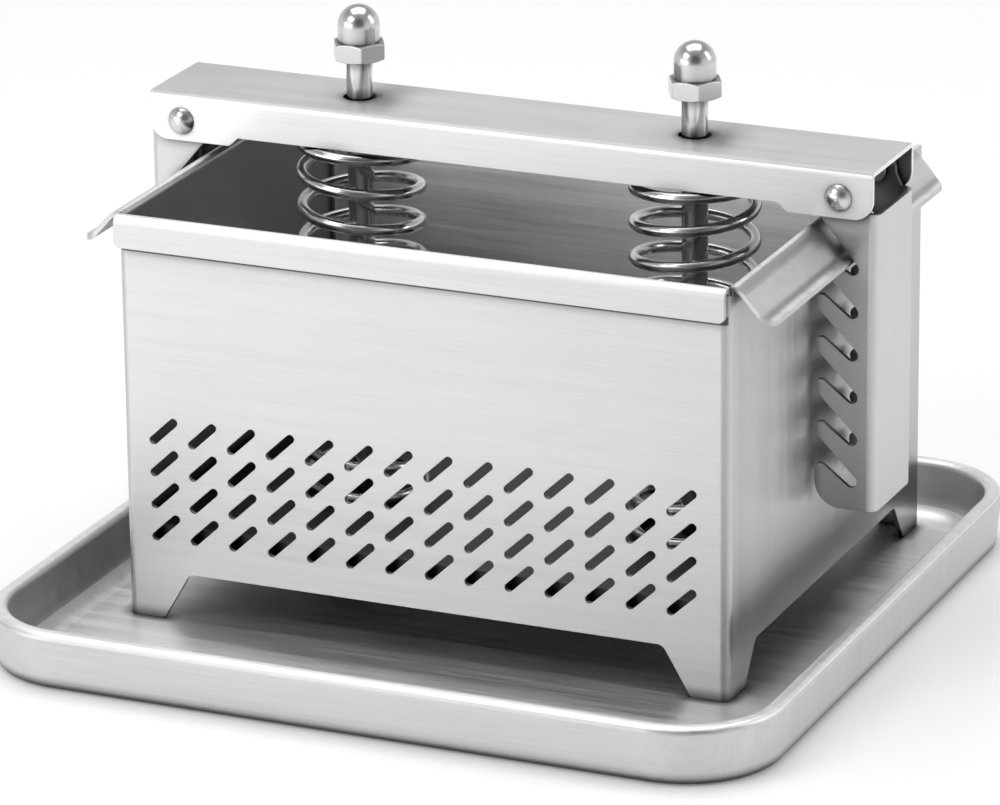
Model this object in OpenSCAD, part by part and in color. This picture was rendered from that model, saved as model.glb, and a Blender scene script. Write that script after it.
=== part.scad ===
// Tofu press: a slotted sheet steel box standing in a drip tray. A spring
// loaded plate works inside the box. The beam above it is held down by two
// hanging racks, whose notches catch the lips folded out of the box sides.
//
// Millimetres, +Z up, +X to the right, +Y to the back. The origin is the
// middle of the tray's footprint, on the table. Sizes read from the photograph
// are given from the foot of the box and are lifted into the tray at the end.

/* [Box] */
// Outside width of the box
boxWide = 158; // [150:0.5:166]
// Outside depth of the box
boxDeep = 130; // [120:0.5:136]
// Height of the box from its feet to the rim
boxHigh = 102.8; // [100:0.1:106]
// Thickness of all the box, rack and beam sheet
sheet = 1.2; // [1:0.1:1.5]
// Outside radius of the upright corner bends
cornerBend = 2.4; // [2:0.1:3]
// Height of the cut-away between the feet, front and back
frontCut = 12.2; // [9:0.1:14]
// Height of the cut-away between the feet, at the sides
sideCut = 10.4; // [8:0.1:13]
// Width of a foot at the ground
footWide = 9.8; // [8:0.1:12]
// Width of a foot where it joins the wall
footTop = 17; // [14:0.1:20]

/* [Rim] */
// Height of the band folded down outside the front and back rims
hemHigh = 8; // [6:0.1:10]
// Gap inside the folded band
hemGap = 1.6; // [1:0.1:2]
// Slope of the side lip's steepest part below the horizontal
lipSlope = 48; // [46:1:52]
// How far the side lip's tip lies below the rim
lipDrop = 7.8; // [7.6:0.1:8.5]
// Distance of a side lip's front end from the front
lipFront = 1.4; // [1:0.1:5]
// Distance of a side lip's back end from the back
lipBack = 10; // [3:0.5:15]

/* [Drain slots] */
// Slots along each wall
slotColumns = 14; // [10:1:16]
// Rows of slots
slotRows = 4; // [2:1:5]
// Distance between columns
slotPitch = 10.38; // [9:0.02:11]
// Distance between rows
rowPitch = 8.28; // [7:0.02:9]
// Height of the top row at the left end
slotTop = 48.4; // [40:0.1:52]
// Overall length of a slot
slotLong = 9.6; // [8:0.1:11]
// Width of a slot
slotWide = 2.2; // [1.8:0.1:3]
// Lean of a slot from the horizontal
slotLean = 43; // [35:1:50]

/* [Floor and press plate] */
// Underside of the box floor above the feet
floorUnder = 12.3; // [11:0.1:14]
// Upturned flange of the box floor
floorFlange = 6; // [4:0.1:7]
// Gap between the press plate and the box walls
plateGap = 2.8; // [2.4:0.1:4]
// Thickness of the press plate
plateThick = 2; // [1.5:0.1:3]
// Height of the press plate's upturned edge
plateEdge = 7; // [4:0.5:12]

/* [Beam] */
// Length of the beam
beamLong = 190; // [186:0.5:194]
// Depth of the beam, front to back
beamDeep = 28.4; // [27:0.1:30]
// Top of the beam above the feet
beamTop = 117.6; // [117:0.1:119]
// Outside radius of the beam's bends
beamBend = 1.6; // [1.4:0.1:2.4]
// Depth of the beam's flanges between the ears
flangeDeep = 9.8; // [8:0.1:12]
// Depth of the ears that carry the rivets
earDeep = 12; // [11:0.1:13]
// Length of an ear from the beam's end
earLong = 21.6; // [18:0.1:26]
// Diameter of the holes for the rods
rodHole = 8.2; // [7.5:0.1:9]

/* [Racks] */
// Outside face of the rack's web from the middle
webOut = 96; // [95:0.1:97]
// Width of the rack, front to back
rackDeep = 25.2; // [24:0.1:26]
// Bottom of the rack above the feet
rackFoot = 32; // [30:0.1:36]
// Top of the rack's web above the feet
webTop = 106.6; // [105:0.1:108]
// Rivet line from the middle of the press
pivotOut = 86.4; // [85:0.1:87]
// Rivet line above the feet
pivotHigh = 110.6; // [110:0.1:111]
// Inner edge of the rack's fingers from the middle
fingerTip = 80.3; // [79.6:0.1:81]
// Number of notches
notches = 6; // [4:1:8]
// Distance between notches
notchPitch = 10.68; // [10:0.02:11]
// Closed end of a notch from the middle
notchEnd = 89.6; // [89:0.1:90]
// Closed end of the first notch above the feet
notchHigh = 92.6; // [92:0.1:93]
// Radius of the closed end of a notch
notchRound = 1.55; // [1.4:0.05:1.8]

/* [Rods, springs and nuts] */
// Distance between the two rods
rodSpacing = 88.6; // [80:0.1:100]
// Diameter of a rod
rodThick = 6.5; // [6:0.1:8]
// Underside of the cap nuts above the feet
nutUnder = 127.4; // [124:0.1:130]
// Width of a cap nut across its flats
nutFlats = 12; // [11:0.5:14]
// Height of a cap nut's hexagon
nutHex = 4.6; // [4:0.1:8]
// Whole height of a cap nut
nutHigh = 13.7; // [12:0.1:17]
// Outside diameter of a spring
springWide = 32.4; // [31:0.1:33]
// Thickness of the spring wire
springWire = 3; // [2.5:0.1:3.2]
// Distance between curls in the middle of a spring
springPitch = 8.9; // [8:0.1:10]

/* [Rivets] */
// Diameter of a rivet's shank
rivetThick = 4; // [3:0.1:5]
// Diameter of a rivet's domed head
rivetHead = 6.9; // [6:0.1:8]
// Height of a rivet's domed head
rivetDome = 2; // [1.2:0.1:3]

/* [Tray] */
// Length of the tray, left to right
trayWide = 203; // [195:0.5:210]
// Width of the tray, front to back
trayDeep = 196.4; // [188:0.5:204]
// Height of the tray's rim
trayHigh = 14.6; // [12:0.1:18]
// Thickness of the tray's sheet
traySheet = 0.9; // [0.6:0.1:1.2]
// Outside radius of the tray's corners
trayCorner = 25; // [18:0.5:32]
// Width of the tray's flat rim
trayRim = 4.4; // [3:0.1:6]
// Radius inside the tray between wall and floor
trayBend = 6; // [4:0.5:9]
// How far in the tray's wall leans from rim to floor
trayLean = 0.8; // [0.2:0.1:1.5]
// How far right of the tray's middle the box stands
boxRight = -2.2; // [-8:0.1:8]
// How far behind the tray's middle the box stands
boxBack = 18.8; // [0:0.1:22]

/* [Hidden] */
$fn = 64;
e = 0.01;
halfWide = boxWide / 2;
halfDeep = boxDeep / 2;
lift = traySheet + 0.05;
rodOut = rodSpacing / 2;
screwThick = 4.2;
screwHead = 9;
floorTop = floorUnder + sheet;
plateUnder = floorTop + 0.1;
plateTop = plateUnder + plateThick;
flangeUnder = beamTop - flangeDeep;
earUnder = beamTop - earDeep;
coilRadius = (springWide - springWire) / 2;

// ---------------------------------------------------------------- helpers

// part of a bent sheet seen end on: inner radius r, from one angle to another
module bend(r, from, to, thick = sheet) {
    far = 3 * (r + thick);
    mid = (from + to) / 2;
    intersection() {
        difference() {
            circle(r + thick);
            circle(r);
        }
        polygon([
            [0, 0],
            far * [cos(from), sin(from)],
            far * [cos(mid), sin(mid)],
            far * [cos(to), sin(to)]
        ]);
    }
}

// a bar of sheet between two bends, given by the ends of its inner face; it
// runs a little into both bends, a trace thinner than they are
module strip(a, b, normal) {
    trace = 0.002;
    along = 0.05 * (b - a) / norm(b - a);
    low = trace * normal;
    high = (sheet - trace) * normal;
    polygon([a - along + low, b + along + low, b + along + high, a - along + high]);
}

// removes the sharp corner at v between edges that leave it along p and q;
// the circle is a trace larger, so that it crosses the edges cleanly
module soften(v, p, q, r) {
    half = acos(p * q) / 2;
    middle = (p + q) / norm(p + q);
    centre = v + middle * r / sin(half);
    difference() {
        polygon([v - 0.6 * middle, v + p * r / tan(half), centre, v + q * r / tan(half)]);
        translate(centre) circle(r * 1.002);
    }
}

// extrudes a drawing of the XZ plane along Y, from y0 to y1
module alongDepth(y0, y1) {
    translate([0, y1, 0]) rotate([90, 0, 0]) linear_extrude(y1 - y0) children();
}

// extrudes a drawing of the YZ plane along X, from x0 to x1
module alongWidth(x0, x1) {
    translate([x0, 0, 0]) rotate([90, 0, 90]) linear_extrude(x1 - x0) children();
}

module roundedBlock(wide, deep, r) {
    union() {
        square([wide - 2 * r, deep], center = true);
        square([wide, deep - 2 * r], center = true);
        for (x = [-1, 1], y = [-1, 1])
            translate([x * (wide / 2 - r), y * (deep / 2 - r)]) circle(r);
    }
}

// everything but the tray stands in the tray
module inTray() {
    translate([boxRight, boxBack, lift]) children();
}

// ------------------------------------------------------------------- tray

// the tray's sheet seen end on, x = 0 at the outer edge of the rim and
// positive towards the outside; the wall leans, and the rim turns down
// into a skirt that curls in at the table
module trayEdge() {
    skirtIn = 1;
    curl = 2.2;
    wallX = -trayRim;
    turn = 0.8;
    low = trayBend + traySheet;
    footX = wallX - trayLean;
    // rim, flat on top with a small bend at each side
    translate([-turn - traySheet, trayHigh - turn - traySheet]) bend(turn, 0, 90, traySheet);
    translate([wallX + turn + traySheet, trayHigh - turn - traySheet])
        bend(turn, 90, 180, traySheet);
    translate([wallX + turn + traySheet, trayHigh - traySheet])
        square([trayRim - 2 * (turn + traySheet), traySheet]);
    // skirt outside, then its curl at the table
    polygon([
        [0, trayHigh - turn - traySheet], [-skirtIn, curl],
        [-skirtIn - traySheet, curl], [-traySheet, trayHigh - turn - traySheet]
    ]);
    translate([-skirtIn - curl, curl]) bend(curl - traySheet, 270, 360, traySheet);
    // leaning wall inside the skirt
    polygon([
        [wallX, trayHigh - turn - traySheet], [wallX + traySheet, trayHigh - turn - traySheet],
        [footX + traySheet, low], [footX, low]
    ]);
    // the large curve down to the floor
    translate([footX - trayBend, low]) bend(trayBend, 270, 360, traySheet);
}

module drip_tray() {
    color("silver") {
        straightX = trayWide / 2 - trayCorner;
        straightY = trayDeep / 2 - trayCorner;
        floorIn = trayCorner - trayRim - trayLean - trayBend;
        for (a = [0:3])
            rotate(a * 90) {
                long = a % 2 == 0 ? straightY : straightX;
                out = a % 2 == 0 ? straightX : straightY;
                translate([out + trayCorner, long, 0])
                    rotate([90, 0, 0]) linear_extrude(2 * long) trayEdge();
                translate([out, long, 0])
                    rotate_extrude(angle = 90) translate([trayCorner, 0]) trayEdge();
            }
        linear_extrude(traySheet)
            roundedBlock(2 * (straightX + floorIn), 2 * (straightY + floorIn), floorIn);
    }
}

// -------------------------------------------------------------------- box

// what is cut away between two feet, on a wall of the given width
module footGap(wide, high) {
    inner = 2.4;
    toe = 1.6;
    a = [wide / 2 - footTop, high];
    b = [wide / 2 - footWide, 0];
    down = (b - a) / norm(b - a);
    difference() {
        polygon([a, b, [b[0], -5], [-b[0], -5], [-b[0], 0], [-a[0], high]]);
        soften(a, down, [-1, 0], inner);
        soften([-a[0], a[1]], [-down[0], down[1]], [1, 0], inner);
    }
    for (m = [0, 1])
        mirror([m, 0]) soften(b, -down, [1, 0], toe);
}

module drainSlots() {
    for (c = [0:slotColumns - 1], r = [0:slotRows - 1])
        translate([(c - (slotColumns - 1) / 2) * slotPitch - 0.6, slotTop - r * rowPitch])
            rotate(slotLean) {
                square([slotLong - slotWide, slotWide], center = true);
                for (s = [-1, 1])
                    translate([s * (slotLong - slotWide) / 2, 0]) circle(slotWide / 2, $fn = 24);
            }
}

// the front rim's band seen end on: the sheet folds out over a gap and comes down
module hem() {
    r = hemGap / 2;
    translate([-halfDeep - r, boxHigh - r - sheet]) bend(r, 0, 180);
    translate([-halfDeep - hemGap - sheet, boxHigh - hemHigh])
        square([sheet, hemHigh - r - sheet]);
}

// the front rim's band, with its lower corners rounded
module hemBand() {
    endX = halfWide - 0.4;
    difference() {
        alongWidth(-endX, endX) hem();
        for (m = [0, 1])
            mirror([m, 0, 0])
                alongDepth(-halfDeep - 5, -halfDeep - hemGap + 0.1)
                    soften([endX, boxHigh - hemHigh], [-1, 0], [0, 1], 1.6);
    }
}

// the side lip seen end on: over the wall's top with a tight bend, out in a
// gentle curve, steeply down, then level at its tip
module lip() {
    tight = 0.3;
    first = 30;
    gentle = 6.8;
    last = 4.5;
    n = [sin(first), cos(first)];
    m = [sin(lipSlope), cos(lipSlope)];
    crest = [halfWide + tight, boxHigh - sheet - tight];
    a = crest + tight * n;
    b = a + 0.4 * [cos(first), -sin(first)];
    middle = b - gentle * n;
    c = middle + gentle * m;
    drop = c[1] - (boxHigh - lipDrop + last - (last + sheet) * cos(lipSlope));
    d = c + drop / sin(lipSlope) * [cos(lipSlope), -sin(lipSlope)];
    translate([halfWide - sheet, boxHigh - 4]) square([sheet, 4 - sheet - tight]);
    translate(crest) bend(tight, 90 - first, 180);
    strip(a, b, n);
    translate(middle) bend(gentle, 90 - lipSlope, 90 - first);
    strip(c, d, m);
    translate(d + (sheet + last) * m) bend(last, 270 - lipSlope, 266);
}

// outline of a side lip from above, with its outer corners rounded
module lipPlan() {
    tip = halfWide + 10.4;
    difference() {
        translate([halfWide - sheet - 1, -halfDeep + lipFront])
            square([sheet + 20, boxDeep - lipFront - lipBack]);
        soften([tip, -halfDeep + lipFront], [-1, 0], [0, 1], 4);
        soften([tip, halfDeep - lipBack], [-1, 0], [0, -1], 5);
    }
}

// front and both sides are one bent sheet, with its back edges square
module boxPlan() {
    difference() {
        union() {
            roundedBlock(boxWide, boxDeep, cornerBend);
            translate([-halfWide, 0]) square([boxWide, halfDeep]);
        }
        roundedBlock(boxWide - 2 * sheet, boxDeep - 2 * sheet, cornerBend - sheet);
        translate([-halfWide + sheet, 0]) square([boxWide - 2 * sheet, halfDeep + 1]);
    }
}

module box_shell() {
    color("gainsboro") inTray() {
        difference() {
            linear_extrude(boxHigh - 2.2) boxPlan();
            alongDepth(-halfDeep - 1, -halfDeep + 20) footGap(boxWide, frontCut);
            alongDepth(-halfDeep - 1, -halfDeep + 20) drainSlots();
            alongWidth(-halfWide - 1, halfWide + 1) footGap(boxDeep, sideCut);
        }
        for (m = [0, 1])
            mirror([m, 0, 0])
                intersection() {
                    alongDepth(-halfDeep, halfDeep) lip();
                    translate([0, 0, boxHigh - 20]) linear_extrude(30) lipPlan();
                }
        // the front wall's flat part carries the hem
        translate([-halfWide + 2.6, -halfDeep, boxHigh - 4.5]) cube([boxWide - 5.2, sheet, 2.5]);
        hemBand();
    }
}

// the back wall slips inside the sides, and its flanges are spot welded
module back_panel() {
    color("lightgray") inTray() {
        inside = boxWide - 2 * sheet - 0.1;
        flange = 12;
        difference() {
            intersection() {
                linear_extrude(boxHigh - hemGap / 2 - sheet)
                    difference() {
                        roundedBlock(inside, boxDeep, 2);
                        roundedBlock(inside - 2 * sheet, boxDeep - 2 * sheet, 2 - sheet);
                    }
                translate([-halfWide, halfDeep - flange, 0])
                    cube([boxWide, flange + 1, boxHigh]);
            }
            alongDepth(halfDeep - 4, halfDeep + 1) footGap(boxWide, frontCut);
            alongDepth(halfDeep - 4, halfDeep + 1) drainSlots();
            // side flanges stop above the floor's edge and below the lips
            translate([-halfWide, halfDeep - flange - 1, -1])
                cube([boxWide, flange + 1 - sheet, floorTop + floorFlange + 2]);
            translate([-halfWide, halfDeep - flange - 1, boxHigh - 12])
                cube([boxWide, flange - 2, 20]);
            for (x = [-1, 1])
                translate([x * (inside / 2 - 1.4), halfDeep - 2, boxHigh - 1])
                    cube([3, 8, 4], center = true);
        }
        mirror([0, 1, 0]) hemBand();
    }
}

// the floor is a shallow pan, holed to drain and welded by its edges
module floor_plate() {
    color("darkgray") inTray() {
        wide = boxWide - 2 * sheet - 0.1;
        deep = boxDeep - 2 * sheet - 0.1;
        hole = 5;
        holePitch = 13;
        difference() {
            translate([0, 0, floorUnder])
                linear_extrude(sheet + floorFlange) roundedBlock(wide, deep, 2);
            translate([0, 0, floorTop])
                linear_extrude(20) roundedBlock(wide - 2 * sheet, deep - 2 * sheet, 2 - sheet);
            for (x = [-5:5], y = [-4:4])
                translate([x * holePitch, y * holePitch, 0]) cylinder(d = hole, h = 30, $fn = 24);
        }
    }
}

// ------------------------------------------------------------ press plate

module press_plate() {
    color("white") inTray() {
        wide = boxWide - 2 * sheet - 2 * plateGap;
        deep = boxDeep - 2 * sheet - 2 * plateGap;
        difference() {
            translate([0, 0, plateUnder])
                linear_extrude(plateThick + plateEdge) roundedBlock(wide, deep, 4);
            translate([0, 0, plateTop])
                linear_extrude(20) roundedBlock(wide - 2 * sheet, deep - 2 * sheet, 4 - sheet);
            for (x = [-rodOut, rodOut]) {
                translate([x, 0, plateUnder - 1]) cylinder(d = screwThick + 1, h = plateThick + 2);
                translate([x, 0, plateUnder - e])
                    cylinder(d1 = screwHead + 0.1, d2 = screwThick + 1, h = plateThick - 0.05);
            }
        }
    }
}

// a rod stands on the plate, and its turned-down top takes the cap nut
module rod(x) {
    thread = 6;
    threadLong = 6.9;
    chamfer = 0.6;
    translate([x, 0, 0])
        difference() {
            union() {
                translate([0, 0, plateTop + 0.05])
                    cylinder(d = rodThick, h = nutUnder - plateTop - 0.1);
                translate([0, 0, nutUnder - 0.1]) cylinder(d = thread, h = threadLong + 0.1);
                translate([0, 0, nutUnder + threadLong - e])
                    cylinder(d1 = thread, d2 = thread - 2 * chamfer, h = chamfer);
            }
            translate([0, 0, plateTop - 1]) cylinder(d = screwThick + 0.1, h = 15);
        }
}

module rod_left() {
    color("silver") inTray() rod(-rodOut);
}

module rod_right() {
    color("silver") inTray() rod(rodOut);
}

// countersunk screws hold the rods, flush with the pressing face
module plateScrew(x) {
    key = 3.4;
    keyDeep = 1.4;
    translate([x, 0, plateUnder]) {
        difference() {
            cylinder(d1 = screwHead, d2 = screwThick + 0.7, h = plateThick);
            translate([0, 0, keyDeep - 3]) cylinder(d = key, h = 3, $fn = 6);
        }
        translate([0, 0, plateThick - 0.1]) cylinder(d = screwThick, h = 11);
    }
}

module plate_screw_left() {
    color("dimgray") inTray() plateScrew(-rodOut);
}

module plate_screw_right() {
    color("dimgray") inTray() plateScrew(rodOut);
}

// acorn nut: hexagon with turned corners and a tall round cap
module capNut(x, turn) {
    dome = 5.2;
    flat = nutFlats / 2;
    corner = flat + 1.2;
    chamfer = 0.6;
    translate([x, 0, nutUnder])
        difference() {
            union() {
                intersection() {
                    rotate(turn) cylinder(r = flat / cos(30), h = nutHex, $fn = 6);
                    rotate_extrude()
                        polygon([
                            [0, 0], [flat - 0.1, 0], [corner, chamfer],
                            [corner, nutHex - chamfer], [flat - 0.1, nutHex], [0, nutHex]
                        ]);
                }
                rotate_extrude() {
                    square([dome, nutHigh - dome]);
                    translate([0, nutHigh - dome])
                        intersection() {
                            circle(dome);
                            square([dome, dome]);
                        }
                }
            }
            translate([0, 0, -1]) cylinder(d = 6.1, h = 9);
        }
}

module cap_nut_left() {
    color("lightsteelblue") inTray() capNut(-rodOut, -1);
}

module cap_nut_right() {
    color("lightsteelblue") inTray() capNut(rodOut, -1);
}

// ---------------------------------------------------------------- springs

// the wire is drawn with few sides; its corners lie this far from its middle
sides = 6;
cornerOut = springWire / 2 / cos(180 / sides) * 0.93;
springLow = plateTop + cornerOut + 0.05;
springHigh = flangeUnder - cornerOut - 0.05;
// half a level turn at each end, open turns between them
levelTurns = 0.5;
openTurns = (springHigh - springLow) / springPitch;
allTurns = openTurns + 2 * levelTurns;
rings = 8;

// height of the wire after t turns
function rise(t) =
    springLow + springPitch * min(max(t - levelTurns, 0), openTurns);

function wire(t, hand, start) =
    [coilRadius * cos(start + hand * 360 * t), coilRadius * sin(start + hand * 360 * t), rise(t)];

steps = floor(allTurns * rings);
function onWire(i, hand, start) = wire(allTurns * i / steps, hand, start);

// one ring of the tube, square to the wire
function ringPoint(i, k, hand, start) =
    let (
        p = onWire(i, hand, start),
        ahead = onWire(min(i + 1, steps), hand, start) - onWire(max(i - 1, 0), hand, start),
        run = ahead / norm(ahead),
        outward = [p[0], p[1], 0] / coilRadius,
        side = cross(run, outward) / norm(cross(run, outward)),
        up = cross(side, run),
        a = 360 * (k + 0.5) / sides
    )
    p + cornerOut * (cos(a) * up + sin(a) * side);

function tubePoints(hand, start) =
    [for (i = [0:steps], k = [0:sides - 1]) ringPoint(i, k, hand, start)];

tubeFaces = concat(
    [for (i = [0:steps - 1], k = [0:sides - 1])
        let (a = i * sides + k, b = i * sides + (k + 1) % sides) [a, b + sides, b]],
    [for (i = [0:steps - 1], k = [0:sides - 1])
        let (a = i * sides + k, b = i * sides + (k + 1) % sides) [a, a + sides, b + sides]],
    [for (k = [1:sides - 2]) [0, k, k + 1]],
    [for (k = [1:sides - 2]) let (z = steps * sides) [z, z + k + 1, z + k]]
);

// the top end of the wire points to the back
module spring(x, hand) {
    start = 90 - hand * 360 * allTurns;
    translate([x, 0, 0])
        polyhedron(points = tubePoints(hand, start), faces = tubeFaces, convexity = 10);
}

// least gap between neighbouring turns of the tube, found on its own points
gaps = [
    for (i = [0:steps])
        for (j = [i + floor(rings * 0.75):min(steps, i + floor(rings * 1.4))])
            norm(onWire(i, 1, 0) - onWire(j, 1, 0)) - springWire
];
echo(turns = allTurns, least_gap = min(gaps));

module spring_left() {
    color("gold") inTray() spring(-rodOut, -1);
}

module spring_right() {
    color("gold") inTray() spring(rodOut, 1);
}

// ------------------------------------------------------------------- beam

module beamSection() {
    r = beamBend;
    difference() {
        union() {
            translate([-beamDeep / 2, earUnder]) square([beamDeep, earDeep - r]);
            translate([-beamDeep / 2 + r, beamTop - r]) square([beamDeep - 2 * r, r]);
            for (y = [-1, 1]) translate([y * (beamDeep / 2 - r), beamTop - r]) circle(r);
        }
        translate([-beamDeep / 2 + sheet, earUnder - 1])
            square([beamDeep - 2 * sheet, earDeep + 1 - r]);
        translate([-beamDeep / 2 + r, earUnder - 1])
            square([beamDeep - 2 * r, earDeep + 1 - sheet]);
        for (y = [-1, 1])
            translate([y * (beamDeep / 2 - r), beamTop - r]) circle(r - sheet);
    }
}

// the beam from the front: a straight flange with a deeper ear at each end
module beamFace() {
    half = beamLong / 2;
    slant = 2.4;
    earRound = 4.8;
    up = [-slant, flangeUnder - earUnder] / norm([-slant, flangeUnder - earUnder]);
    difference() {
        translate([-half, earUnder]) square([beamLong, earDeep + 1]);
        polygon([
            [-half + earLong, earUnder - 1], [half - earLong, earUnder - 1],
            [half - earLong, earUnder], [half - earLong - slant, flangeUnder],
            [-half + earLong + slant, flangeUnder], [-half + earLong, earUnder]
        ]);
        for (m = [0, 1])
            mirror([m, 0]) {
                soften([half, earUnder], [0, 1], [-1, 0], earRound);
                soften([half - earLong, earUnder], up, [1, 0], 1.2);
            }
    }
}

module beam() {
    color("white") inTray() {
        difference() {
            intersection() {
                alongWidth(-beamLong / 2, beamLong / 2) beamSection();
                alongDepth(-beamDeep, beamDeep) beamFace();
            }
            for (x = [-rodOut, rodOut])
                translate([x, 0, beamTop - 5]) cylinder(d = rodHole, h = 10);
            for (x = [-pivotOut, pivotOut])
                translate([x, beamDeep, pivotHigh])
                    rotate([90, 0, 0]) cylinder(d = rivetThick + 0.1, h = 2 * beamDeep);
        }
    }
}

// ------------------------------------------------------------------ racks

// a notch slants out and down from its mouth, narrowing to a round end;
// the first one is wider, so the lip can leave it with the beam only 2.5 mm down
module notch(k) {
    lower = k == 0 ? 29 : 38;
    upper = k == 0 ? 50 : 45;
    c = [notchEnd, notchHigh - k * notchPitch + (k == 0 ? 0.2 : 0)];
    inside = notchRound * 0.998;
    lo = c - inside * [sin(lower), cos(lower)];
    up = c + inside * [sin(upper), cos(upper)];
    mouth = fingerTip - 1;
    translate(c) circle(notchRound);
    polygon([
        c, lo,
        [mouth, lo[1] + (lo[0] - mouth) * tan(lower)],
        [mouth, up[1] + (up[0] - mouth) * tan(upper)],
        up
    ]);
    // rounded tips of the fingers below and above the mouth
    tipLow = [fingerTip, lo[1] + (lo[0] - fingerTip) * tan(lower)];
    tipUp = [fingerTip, up[1] + (up[0] - fingerTip) * tan(upper)];
    soften(tipLow, [0, -1], [cos(lower), -sin(lower)], k == 0 ? 1.1 : 1.5);
    soften(tipUp, [0, 1], [cos(upper), -sin(upper)], k == 0 ? 1.5 : k == 1 ? 2 : 3);
}

// one flange of the right-hand rack seen from the front; its top is an eye
// round the rivet
module rackFace() {
    eye = 5.2;
    shoulder = 50;
    rivet = [pivotOut, pivotHigh];
    difference() {
        union() {
            difference() {
                polygon([
                    [fingerTip, rackFoot], [webOut, rackFoot], [webOut, webTop],
                    [webOut - 3, webTop + 0.4],
                    rivet + (eye - 0.1) * [cos(shoulder), sin(shoulder)],
                    rivet + [0, 1], rivet + [-eye - 0.02, 1], [fingerTip, pivotHigh - 8]
                ]);
                soften([fingerTip, rackFoot], [1, 0], [0, 1], 6.5);
            }
            translate(rivet) circle(eye);
        }
        for (k = [0:notches - 1]) notch(k);
        translate(rivet) circle(rivetThick / 2 + 0.06);
    }
}

module rackPlan() {
    r = 2.5;
    intersection() {
        difference() {
            translate([webOut - 40, 0]) roundedBlock(80, rackDeep, r);
            translate([webOut - sheet - 40, 0])
                roundedBlock(80, rackDeep - 2 * sheet, r - sheet);
        }
        translate([fingerTip - 1, -rackDeep]) square([webOut - fingerTip + 2, 2 * rackDeep]);
    }
}

module rack() {
    intersection() {
        translate([0, 0, rackFoot - 1]) linear_extrude(100) rackPlan();
        alongDepth(-rackDeep, rackDeep) rackFace();
    }
}

module rack_left() {
    color("silver") inTray() mirror([1, 0, 0]) rack();
}

module rack_right() {
    color("silver") inTray() rack();
}

// ----------------------------------------------------------------- rivets

// domed outside the ear, with a flat clenched end inside the rack
module pivotRivet(x, way) {
    headR = (rivetHead * rivetHead / 4 + rivetDome * rivetDome) / (2 * rivetDome);
    face = beamDeep / 2 + 0.02;
    inner = rackDeep / 2 - sheet - 0.3;
    clench = 6;
    translate([x, 0, pivotHigh])
        rotate([way < 0 ? 90 : -90, 0, 0]) {
            translate([0, 0, inner - e]) cylinder(d = rivetThick, h = face - inner + 0.1);
            translate([0, 0, face])
                rotate_extrude()
                    intersection() {
                        translate([0, rivetDome - headR]) circle(headR);
                        square([rivetHead, rivetDome]);
                    }
            translate([0, 0, inner - 1]) cylinder(d = clench, h = 1);
        }
}

module rivet_left_front() {
    color("white") inTray() pivotRivet(-pivotOut, -1);
}

module rivet_left_back() {
    color("white") inTray() pivotRivet(-pivotOut, 1);
}

module rivet_right_front() {
    color("white") inTray() pivotRivet(pivotOut, -1);
}

module rivet_right_back() {
    color("white") inTray() pivotRivet(pivotOut, 1);
}

drip_tray();
box_shell();
back_panel();
floor_plate();
press_plate();
rod_left();
rod_right();
plate_screw_left();
plate_screw_right();
spring_left();
spring_right();
cap_nut_left();
cap_nut_right();
beam();
rack_left();
rack_right();
rivet_left_front();
rivet_left_back();
rivet_right_front();
rivet_right_back();
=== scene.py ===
import math

import bmesh
import bpy
from mathutils import Matrix, Vector


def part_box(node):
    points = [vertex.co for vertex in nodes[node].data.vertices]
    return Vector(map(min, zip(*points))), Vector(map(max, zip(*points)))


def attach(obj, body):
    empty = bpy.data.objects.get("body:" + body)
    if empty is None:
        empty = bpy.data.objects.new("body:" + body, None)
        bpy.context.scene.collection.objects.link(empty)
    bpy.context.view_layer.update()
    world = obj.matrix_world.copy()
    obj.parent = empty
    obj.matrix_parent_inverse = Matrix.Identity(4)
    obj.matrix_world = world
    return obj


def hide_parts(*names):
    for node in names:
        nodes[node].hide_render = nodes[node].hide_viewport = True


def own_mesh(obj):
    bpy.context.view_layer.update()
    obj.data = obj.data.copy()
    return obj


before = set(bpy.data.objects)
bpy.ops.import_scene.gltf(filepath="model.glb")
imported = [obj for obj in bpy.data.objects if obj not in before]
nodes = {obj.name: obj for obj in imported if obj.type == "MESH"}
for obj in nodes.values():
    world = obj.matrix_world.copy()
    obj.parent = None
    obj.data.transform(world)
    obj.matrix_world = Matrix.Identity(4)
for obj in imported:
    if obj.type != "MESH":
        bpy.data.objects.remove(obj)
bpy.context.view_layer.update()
mm = 0.001
print("stage: frame loaded,", len(nodes), "nodes")

# the camera stands where the photograph was taken from, fitted to the box and the tray
view = {
    "place": (571.485 * mm, -1310.206 * mm, 549.722 * mm),
    "azimuth": 23.6228,
    "elevation": 19.2345,
    "roll": -0.5976,
    "lens": 223.39,
    "sensor": 36.0,
    "nearest": 0.05,
}

# soft boxes round the press: where each stands, what it faces, its size in metres and its power
lamps = {
    "topBox": {"place": (-0.2, 0.3, 1.7), "aim": (-0.1, 0.1, 0), "size": (1.6, 1.2), "watts": 15},
    "frontBox": {
        "place": (-0.3, -0.42, 0.5), "aim": (-0.2, -0.3, 0), "size": (0.3, 0.3), "watts": 0.9,
    },
    "lowBox": {
        "place": (-0.95, -1.25, 0.28), "aim": (-0.05, 0, 0.1), "size": (1.3, 0.5), "watts": 4.2,
    },
    "rightBox": {"place": (1.5, 0.6, 0.9), "aim": (0.1, 0, 0.05), "size": (0.5, 1.0), "watts": 5},
}

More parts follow.
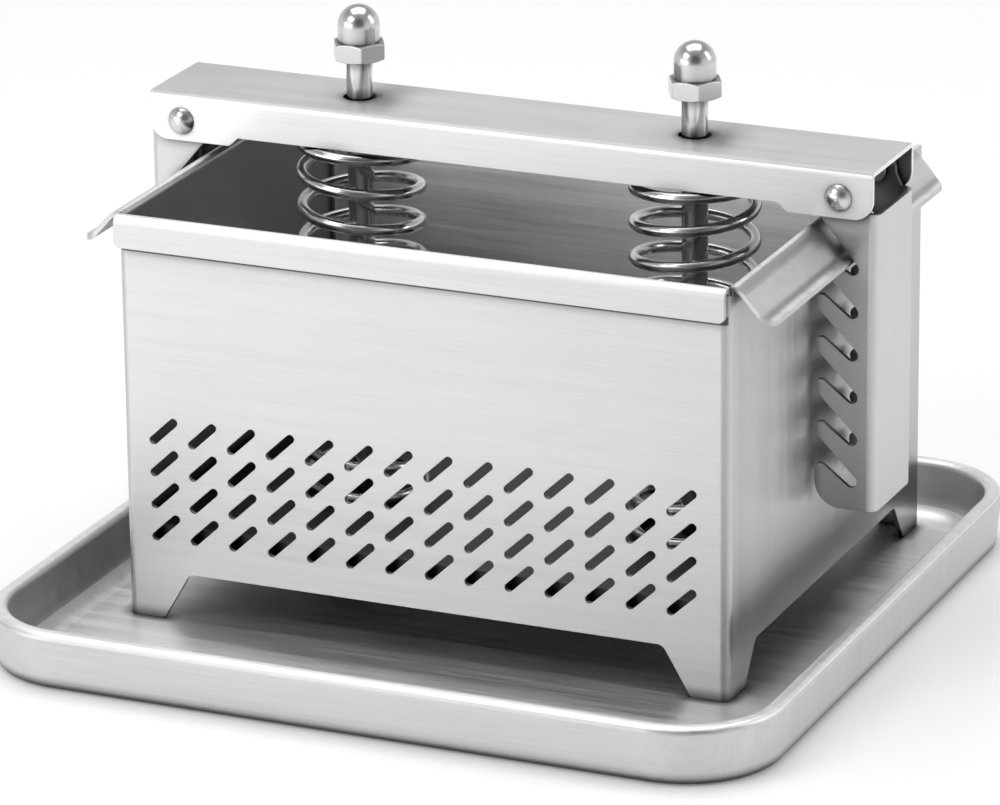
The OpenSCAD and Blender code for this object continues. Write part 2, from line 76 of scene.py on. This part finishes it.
room = {
    "floorHalf": 4.0,  # metres from the press to the floor's edge
    "floorShade": 0.92,
    "floorRough": 0.9,
    "floorGloss": 0.1,
    "floorGlow": 0.12,  # light that the paper floor gives of itself, so that it stays white
    "sky": ((0.0, 0.9), (0.25, 0.72), (0.5, 0.5), (0.8, 0.35), (1.0, 0.4)),  # light by height
    "skyStrength": 1.0,
    "darkSide": (0.42, -0.85, 0.32),  # the unlit side of the studio, behind the camera
    "darkWide": (0.75, 0.98),  # cosines where the dark starts and where it is full
    "darkShare": 0.8,
}


def placeCamera():
    a, e, r = (math.radians(view[k]) for k in ("azimuth", "elevation", "roll"))
    back = Vector((math.sin(a) * math.cos(e), -math.cos(a) * math.cos(e), math.sin(e)))
    right = Vector((math.cos(a), math.sin(a), 0))
    up = back.cross(right)
    turned = (math.cos(r) * right + math.sin(r) * up, math.cos(r) * up - math.sin(r) * right, back)
    camera = bpy.data.objects.new("camera", bpy.data.cameras.new("camera"))
    bpy.context.collection.objects.link(camera)
    camera.matrix_world = Matrix.Translation(view["place"]) @ Matrix(turned).transposed().to_4x4()
    camera.data.lens = view["lens"]
    camera.data.sensor_width = view["sensor"]
    camera.data.clip_start = view["nearest"]
    bpy.context.scene.camera = camera


def hangLamps():
    for name, lamp in lamps.items():
        light = bpy.data.lights.new(name, "AREA")
        light.shape = "RECTANGLE"
        light.size, light.size_y = lamp["size"]
        light.energy = lamp["watts"]
        box = bpy.data.objects.new(name, light)
        bpy.context.collection.objects.link(box)
        place = Vector(lamp["place"])
        aim = (Vector(lamp["aim"]) - place).to_track_quat("-Z", "Y")
        box.matrix_world = Matrix.Translation(place) @ aim.to_matrix().to_4x4()


# light from above and from the sides, with one side of the room left dark for the steel to show
def paintSky():
    world = bpy.data.worlds.new("studio")
    bpy.context.scene.world = world
    world.use_nodes = True
    tree = world.node_tree
    put, join = tree.nodes.new, tree.links.new
    shade = tree.nodes["Background"]
    where = put("ShaderNodeTexCoord")
    parts = put("ShaderNodeSeparateXYZ")
    ramp = put("ShaderNodeValToRGB")
    join(where.outputs["Generated"], parts.inputs[0])
    join(parts.outputs["Z"], ramp.inputs["Fac"])
    stops = ramp.color_ramp.elements
    while len(stops) < len(room["sky"]):
        stops.new(0.5)
    for stop, (height, light) in zip(stops, room["sky"]):
        stop.position = height
        stop.color = (light, light, light, 1)
    join(ramp.outputs["Color"], shade.inputs["Color"])
    near = put("ShaderNodeVectorMath")
    near.operation = "DOT_PRODUCT"
    near.inputs[1].default_value = Vector(room["darkSide"]).normalized()
    join(where.outputs["Generated"], near.inputs[0])
    fade = put("ShaderNodeMapRange")
    fade.interpolation_type = "SMOOTHSTEP"
    fade.inputs["From Min"].default_value, fade.inputs["From Max"].default_value = room["darkWide"]
    fade.inputs["To Min"].default_value = room["skyStrength"]
    fade.inputs["To Max"].default_value = room["skyStrength"] * (1 - room["darkShare"])
    join(near.outputs["Value"], fade.inputs["Value"])
    join(fade.outputs["Result"], shade.inputs["Strength"])


def layFloor():
    bm = bmesh.new()
    bmesh.ops.create_grid(bm, x_segments=1, y_segments=1, size=room["floorHalf"])
    mesh = bpy.data.meshes.new("floor")
    bm.to_mesh(mesh)
    bm.free()
    floor = bpy.data.objects.new("floor", mesh)
    bpy.context.collection.objects.link(floor)
    paint = bpy.data.materials.new("floorPaper")
    paint.use_nodes = True
    shader = paint.node_tree.nodes["Principled BSDF"]
    shader.inputs["Base Color"].default_value = (*[room["floorShade"]] * 3, 1)
    shader.inputs["Roughness"].default_value = room["floorRough"]
    shader.inputs["Specular IOR Level"].default_value = room["floorGloss"]
    shader.inputs["Emission Color"].default_value = (1, 1, 1, 1)
    shader.inputs["Emission Strength"].default_value = room["floorGlow"]
    mesh.materials.append(paint)


bpy.context.scene.view_settings.view_transform = "Standard"
placeCamera()
hangLamps()
paintSky()
layFloor()
print("stage: camera, lamps and floor placed")


def feed(tree, value, socket):
    if isinstance(value, bpy.types.NodeSocket):
        tree.links.new(value, socket)
    else:
        socket.default_value = value


def calc(tree, kind, *values):
    node = tree.nodes.new("ShaderNodeMath")
    node.operation = kind
    for value, socket in zip(values, node.inputs):
        feed(tree, value, socket)
    return node.outputs[0]


def mix(tree, kind, factor, a, b):
    node = tree.nodes.new("ShaderNodeMix")
    node.data_type = kind
    for label, value in (("Factor", factor), ("A", a), ("B", b)):
        feed(tree, value, node.inputs[label])
    return node.outputs["Result"]


def noise(tree, vector, scale, detail):
    node = tree.nodes.new("ShaderNodeTexNoise")
    node.inputs["Scale"].default_value = scale
    node.inputs["Detail"].default_value = detail
    tree.links.new(vector, node.inputs["Vector"])
    return node.outputs["Fac"]


def stretch(tree, vector, scale):
    node = tree.nodes.new("ShaderNodeVectorMath")
    node.operation = "MULTIPLY"
    tree.links.new(vector, node.inputs[0])
    node.inputs[1].default_value = scale
    return node.outputs[0]


# the object's own coordinates, and its coordinates or its normal taken apart into X, Y and Z
def spotOn(tree):
    return tree.nodes.new("ShaderNodeTexCoord").outputs["Object"]


def taken(tree, kind):
    where = tree.nodes.new("ShaderNodeTexCoord")
    parts = tree.nodes.new("ShaderNodeSeparateXYZ")
    tree.links.new(where.outputs[kind], parts.inputs[0])
    return parts.outputs


def socketGroup(name, ins, outs):
    tree = bpy.data.node_groups.new(name, "ShaderNodeTree")
    for label, value in ins.items():
        socket = tree.interface.new_socket(label, in_out="INPUT", socket_type="NodeSocketFloat")
        socket.default_value = value
    for label, kind in outs.items():
        tree.interface.new_socket(label, in_out="OUTPUT", socket_type=f"NodeSocket{kind}")
    return tree, tree.nodes.new("NodeGroupInput"), tree.nodes.new("NodeGroupOutput")


def placeGroup(tree, group, **values):
    node = tree.nodes.new("ShaderNodeGroup")
    node.node_tree = group
    for label, value in values.items():
        node.inputs[label].default_value = value
    return node.outputs


facingShare = 0.6  # a face looks along an axis if this much of its normal does

# strokes per metre along and across the scratches, and how strongly they show
strokes = {
    "fine": (38, 2600),
    "streaks": (9, 420),
    "detail": 3,
    "shade": 0.22,
    "rough": 0.25,
    "smudges": 26,
    "smudgeDetail": 2,
    "smudgeRough": 0.1,
}


# fine parallel scratches: on faces that look along X they run upright, elsewhere along X
def grainGroup():
    tree, come, go = socketGroup(
        "brushedGrain", {"Fine": 1.0, "Streaks": 1.0},
        {"Shade": "Float", "Rough": "Float", "Height": "Float"},
    )
    spot = spotOn(tree)
    looksAlongX = calc(tree, "ABSOLUTE", taken(tree, "Normal")["X"])
    sideways = calc(tree, "GREATER_THAN", looksAlongX, facingShare)
    layers = []
    for along, across in (strokes["fine"], strokes["streaks"]):
        lying = stretch(tree, spot, (along, across, across))
        upright = stretch(tree, spot, (across, across, along))
        pair = [noise(tree, way, 1.0, strokes["detail"]) for way in (lying, upright)]
        layers.append(calc(tree, "SUBTRACT", mix(tree, "FLOAT", sideways, *pair), 0.5))
    fine = calc(tree, "MULTIPLY", layers[0], come.outputs["Fine"])
    streaks = calc(tree, "MULTIPLY", layers[1], come.outputs["Streaks"])
    both = calc(tree, "ADD", fine, streaks)
    smudge = noise(tree, spot, strokes["smudges"], strokes["smudgeDetail"])
    smudge = calc(tree, "MULTIPLY", calc(tree, "SUBTRACT", smudge, 0.5), strokes["smudgeRough"])
    feed(tree, calc(tree, "MULTIPLY_ADD", both, strokes["shade"], 1.0), go.inputs["Shade"])
    feed(tree, calc(tree, "MULTIPLY_ADD", both, strokes["rough"], smudge), go.inputs["Rough"])
    feed(tree, both, go.inputs["Height"])
    return tree


# tells the faces that look up from the others, for the light and shade painted on them
def upGroup():
    tree, _, go = socketGroup("lookingUp", {}, {"Up": "Float"})
    height = taken(tree, "Normal")["Z"]
    feed(tree, calc(tree, "GREATER_THAN", height, facingShare), go.inputs["Up"])
    return tree


rim = {
    "radius": 0.3 * mm,  # how far an edge is rounded over
    "full": 0.12,  # turn of the normal where the painted edge highlight is full
    "reach": 3.5 * mm,  # how near a wall must be to paint shade in a seam
    "seamShade": 0.58,  # share of open sky in the tightest seam
    "farReach": 60 * mm,  # how near the walls must be to make a spot deep
    "samples": 4,
}


# how far a spot lies on a rounded-over edge, for the highlight painted there, and the normal
# there, and how open it lies:
# Open tells narrow seams and Deep tells the inside of the box and the foot of its walls, both for
# painted shade
def edgeGroup():
    tree, come, go = socketGroup(
        "edgeLightAndShade", {"Radius": rim["radius"], "Reach": rim["reach"], "Far": rim["farReach"]},
        {"Mask": "Float", "Normal": "Vector", "Open": "Float", "Deep": "Float"},
    )
    for reach, share, least in (("Reach", "Open", rim["seamShade"]), ("Far", "Deep", 0.0)):
        nookShade = tree.nodes.new("ShaderNodeAmbientOcclusion")
        nookShade.samples = rim["samples"]
        feed(tree, come.outputs[reach], nookShade.inputs["Distance"])
        scaled = calc(tree, "SUBTRACT", nookShade.outputs["AO"], least)
        scaled = calc(tree, "DIVIDE", scaled, 1 - least)
        feed(tree, calc(tree, "MAXIMUM", scaled, 0), go.inputs[share])
    bevel = tree.nodes.new("ShaderNodeBevel")
    bevel.samples = rim["samples"]
    feed(tree, come.outputs["Radius"], bevel.inputs["Radius"])
    face = tree.nodes.new("ShaderNodeNewGeometry")
    dot = tree.nodes.new("ShaderNodeVectorMath")
    dot.operation = "DOT_PRODUCT"
    feed(tree, bevel.outputs["Normal"], dot.inputs[0])
    feed(tree, face.outputs["Normal"], dot.inputs[1])
    mask = tree.nodes.new("ShaderNodeMapRange")
    mask.inputs["From Max"].default_value = rim["full"]
    feed(tree, calc(tree, "SUBTRACT", 1.0, dot.outputs["Value"]), mask.inputs["Value"])
    feed(tree, mask.outputs["Result"], go.inputs["Mask"])
    feed(tree, bevel.outputs["Normal"], go.inputs["Normal"])
    return tree


# the painted shadow line on the front wall under its folded band, placed by the box's own size
boxLow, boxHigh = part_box("box_shell")
band = {
    "underSide": boxHigh.z - 9.25 * mm,
    "front": boxLow.y + 1.5 * mm,  # the wall's face lies less than wallDepth behind this
    "wallDepth": 2 * mm,
    "high": 2 * mm,  # the line's height, most of it behind the band
    "soft": 0.25 * mm,
    "dark": 0.8,
    "shade": 0.02,
}


def seamGroup():
    tree, come, go = socketGroup(
        "underBand", {"Height": 0.0, "Front": 0.0, "Soft": band["soft"]}, {"Dark": "Float"}
    )
    spot = taken(tree, "Object")
    rise = calc(tree, "SUBTRACT", spot["Z"], come.outputs["Height"])
    near = calc(tree, "ADD", calc(tree, "DIVIDE", rise, come.outputs["Soft"]), 1.0)
    near.node.use_clamp = True
    below = calc(tree, "LESS_THAN", rise, band["high"])
    behind = calc(tree, "SUBTRACT", spot["Y"], come.outputs["Front"])
    half = band["wallDepth"] / 2
    onWall = calc(tree, "COMPARE", behind, half, half)
    frontal = calc(tree, "LESS_THAN", taken(tree, "Normal")["Y"], -facingShare)
    here = calc(tree, "MULTIPLY", calc(tree, "MULTIPLY", below, onWall), frontal)
    feed(tree, calc(tree, "MULTIPLY", near, here), go.inputs["Dark"])
    return tree


grain, edges, lookingUp, seamShade = grainGroup(), edgeGroup(), upGroup(), seamGroup()

# tone: how light the steel is; the second tone: how light it is where it looks up, which is
# painted light and
# shade. fine and streaks: the scratches. edge: how strong the painted highlight on rounded-over
# edges is. spread: how far a highlight spreads across the scratches. deep: how dark the painted
# shade in nooks is, and farReach how near their walls stand
finishes = {
    "trayFinish": {
        "tone": 0.64, "upPaintedLight": 0.94, "rough": 0.45, "fine": 1.2, "streaks": 1.0,
        "bump": 0.14, "edge": 0.4, "spread": 0.3, "deep": 0.0,
    },
    "boxFinish": {
        "tone": 0.62, "upPaintedLight": 0.76, "rough": 0.38, "fine": 0.9, "streaks": 0.7,
        "bump": 0.12, "edge": 0.35, "spread": 0.85, "deep": 0.3,
    },
    # the back panel has the box's steel made lighter: painted light on its inside
    "panelSteelLit": {
        "tone": 0.95, "upPaintedLight": 0.8, "rough": 0.45, "fine": 1.2, "streaks": 1.0,
        "bump": 0.12, "edge": 0.35, "spread": 0.85, "deep": 0.1,
    },
    # the beam has the box's steel made lighter: painted light on its front
    "beamSteelLit": {
        "tone": 0.94, "upPaintedLight": 0.5, "rough": 0.48, "fine": 0.9, "streaks": 0.6,
        "bump": 0.12, "edge": 0.35, "spread": 0.9, "deep": 0.6, "farReach": 14 * mm,
    },
    "rackFinish": {
        "tone": 0.66, "upPaintedLight": 0.66, "rough": 0.32, "fine": 0.6, "streaks": 0.4,
        "bump": 0.1, "edge": 0.3, "spread": 0.8, "deep": 0.55,
    },
    # the plates have the box's steel made darker: painted shade inside the box
    "plateSteelShaded": {
        "tone": 0.4, "upPaintedLight": 0.17, "rough": 0.42, "fine": 1.0, "streaks": 1.0,
        "bump": 0.2, "edge": 0.3, "spread": 0.6, "deep": 0.97, "farReach": 100 * mm,
    },
    "nutFinish": {
        "tone": 0.66, "upPaintedLight": 0.66, "rough": 0.22, "fine": 0.3, "streaks": 0.2,
        "bump": 0.04, "edge": 0.25, "spread": 0.0, "deep": 0.0,
    },
    "rodFinish": {
        "tone": 0.9, "upPaintedLight": 0.9, "rough": 0.17, "fine": 0.3, "streaks": 0.2,
        "bump": 0.04, "edge": 0.2, "spread": 0.0, "deep": 0.4,
    },
    "wireFinish": {
        "tone": 0.75, "upPaintedLight": 0.75, "rough": 0.15, "fine": 0.15, "streaks": 0.1,
        "bump": 0.03, "edge": 0.0, "spread": 0.0, "deep": 0.3,
    },
    "rivetFinish": {
        "tone": 0.7, "upPaintedLight": 0.7, "rough": 0.26, "fine": 0.5, "streaks": 0.3,
        "bump": 0.06, "edge": 0.1, "spread": 0.0, "deep": 0.2,
    },
}

shades = {
    "warmth": (1, 0.993, 0.986),  # red, green and blue of the bare steel
    # lightness of the painted highlight on rounded-over edges
    "paintedLight": 0.93,
    # colour of the painted shade in narrow seams
    "seamShade": 0.12,
    # colour of the painted shade inside the box and at the foot of its walls
    "nookShade": 0.03,
    "bumpHigh": 0.03 * mm,
}


def grey(light, warmth=(1, 1, 1)):
    return (*[light * part for part in warmth], 1)


# the way a highlight spreads: upwards on faces that look to the front or back, else along Y
def acrossGrain(tree):
    looksAlongY = calc(tree, "ABSOLUTE", taken(tree, "Normal")["Y"])
    frontal = calc(tree, "GREATER_THAN", looksAlongY, facingShare)
    return mix(tree, "VECTOR", frontal, (0, 1, 0), (0, 0, 1))


def steel(name):
    look = finishes[name]
    metal = bpy.data.materials.new(name)
    metal.use_nodes = True
    tree = metal.node_tree
    shader = tree.nodes["Principled BSDF"]
    shader.inputs["Metallic"].default_value = 1.0
    lines = placeGroup(tree, grain, Fine=look["fine"], Streaks=look["streaks"])
    paintedLight = placeGroup(tree, edges, Far=look.get("farReach", rim["farReach"]))
    up = placeGroup(tree, lookingUp)["Up"]
    # faces that look up get their own tone, painted light on the tray and the box and painted
    # shade on the panel, the beam and the plates
    tones = [grey(look[k], shades["warmth"]) for k in ("tone", "upPaintedLight")]
    paint = mix(tree, "RGBA", up, *tones)
    paint = mix(tree, "RGBA", 1.0, paint, lines["Shade"])
    paint.node.blend_type = "MULTIPLY"
    # rounded-over edges get a painted highlight
    edge = calc(tree, "MULTIPLY", paintedLight["Mask"], look["edge"])
    paint = mix(tree, "RGBA", edge, paint, grey(shades["paintedLight"]))
    # painted shade in narrow seams between parts
    paint = mix(tree, "RGBA", paintedLight["Open"], grey(shades["seamShade"]), paint)
    # painted shade inside the box and at the foot of its walls, by how near walls stand
    deep = calc(tree, "MULTIPLY_ADD", paintedLight["Deep"], look["deep"], 1 - look["deep"])
    paint = mix(tree, "RGBA", deep, grey(shades["nookShade"]), paint)
    # a painted shadow line on the front wall under its folded band
    if name == "boxFinish":
        under = placeGroup(tree, seamShade, Height=band["underSide"], Front=band["front"])
        line = calc(tree, "MULTIPLY", under["Dark"], band["dark"])
        paint = mix(tree, "RGBA", line, paint, grey(band["shade"]))
    feed(tree, paint, shader.inputs["Base Color"])
    feed(tree, calc(tree, "ADD", lines["Rough"], look["rough"]), shader.inputs["Roughness"])
    bump = tree.nodes.new("ShaderNodeBump")
    bump.inputs["Strength"].default_value = look["bump"]
    bump.inputs["Distance"].default_value = shades["bumpHigh"]
    feed(tree, lines["Height"], bump.inputs["Height"])
    feed(tree, paintedLight["Normal"], bump.inputs["Normal"])
    feed(tree, bump.outputs["Normal"], shader.inputs["Normal"])
    if look["spread"]:
        shader.inputs["Anisotropic"].default_value = look["spread"]
        feed(tree, acrossGrain(tree), shader.inputs["Tangent"])
    return metal


# which finish each node gets, by its name or by how its name starts
finishOf = {
    "drip_tray": "trayFinish", "box_shell": "boxFinish", "back_panel": "panelSteelLit",
    "floor_plate": "plateSteelShaded", "press_plate": "plateSteelShaded", "beam": "beamSteelLit",
    "rack": "rackFinish", "rod": "rodFinish", "plate_screw": "rodFinish",
    "cap_nut": "nutFinish", "rivet": "rivetFinish",
}

made = {name: steel(name) for name in finishes}  # the materials, by finish
for start, finish in finishOf.items():
    for name in nodes:
        if name.startswith(start):
            for place in nodes[name].material_slots:
                place.material = made[finish]
print("stage: finishes laid on the nodes")

# coil springs of smooth round wire, in place of the many-sided solids
coil = {
    "wire": 3.0 * mm,
    "outer": 32.4 * mm,
    "pitch": 8.9 * mm,
    "level": 0.4,  # turns that lie level at each end
    "ramp": 0.2,  # turns that rise at half the pitch, next to them
    "roundSteps": 60,
    "fewestSteps": 4,
    "wireSides": 20,
    "travel": 55.05 * mm,  # how far the plate's travel shortens it
}


def windSpring(side, hand):
    low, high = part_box(f"spring_{side}")
    rodLow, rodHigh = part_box(f"rod_{side}")
    middle = (rodLow + rodHigh) / 2
    wireRadius, radius = coil["wire"] / 2, (coil["outer"] - coil["wire"]) / 2
    bottom, top = low.z + wireRadius, high.z - wireRadius
    openTurns = (top - bottom) / coil["pitch"] - coil["ramp"]
    level, ramp = (coil["level"], 0), (coil["ramp"], coil["pitch"] / 2)
    parts = (level, ramp, (openTurns, coil["pitch"]), ramp, level)
    allTurns = sum(turns for turns, _ in parts)
    bm = bmesh.new()
    bmesh.ops.create_circle(bm, cap_ends=True, segments=coil["wireSides"], radius=wireRadius)
    # the wire's top end points to the back, so its lower end is turned to suit
    start = Matrix.Rotation(-hand * allTurns * 2 * math.pi, 4, "Z")
    out = Matrix.Translation((0, radius, 0)) @ Matrix.Rotation(math.radians(90), 4, "Y")
    place = Matrix.Translation((middle.x, middle.y, bottom)) @ start @ out
    bmesh.ops.transform(bm, matrix=place, verts=bm.verts)
    geom = bm.faces[:] + bm.edges[:] + bm.verts[:]
    for turns, pitch in parts:
        steps = max(coil["fewestSteps"], round(turns * coil["roundSteps"]))
        spun = bmesh.ops.spin(
            bm, geom=geom, cent=(middle.x, middle.y, 0), axis=(0, 0, 1),
            dvec=(0, 0, turns * pitch / steps), angle=hand * turns * 2 * math.pi, steps=steps,
        )
        geom = spun["geom_last"]
    bmesh.ops.recalc_face_normals(bm, faces=bm.faces)
    mesh = bpy.data.meshes.new(f"smoothSpring_{side}")
    bm.to_mesh(mesh)
    bm.free()
    for face in mesh.polygons:
        face.use_smooth = True
    mesh.materials.append(made["wireFinish"])
    spring = bpy.data.objects.new(f"smoothSpring_{side}", mesh)
    bpy.context.collection.objects.link(spring)
    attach(spring, "beam")
    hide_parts(f"spring_{side}")
    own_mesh(spring)


windSpring("left", -1)
windSpring("right", 1)
print("stage: springs wound")

# in the photo the back wall's rim stays out of sight behind the beam, so it is set lower
backRim = {"above": 93 * mm, "drop": 6 * mm}


def lowerBackRim():
    bm = bmesh.new()
    bm.from_mesh(nodes["back_panel"].data)
    high = [v for v in bm.verts if v.co.z > backRim["above"]]
    bmesh.ops.translate(bm, verts=high, vec=(0, 0, -backRim["drop"]))
    mesh = bpy.data.meshes.new("loweredBack")
    bm.to_mesh(mesh)
    bm.free()
    mesh.materials.append(made["panelSteelLit"])
    panel = bpy.data.objects.new("loweredBack", mesh)
    bpy.context.collection.objects.link(panel)
    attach(panel, "box")
    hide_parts("back_panel")


lowerBackRim()
print("stage: back rim lowered")
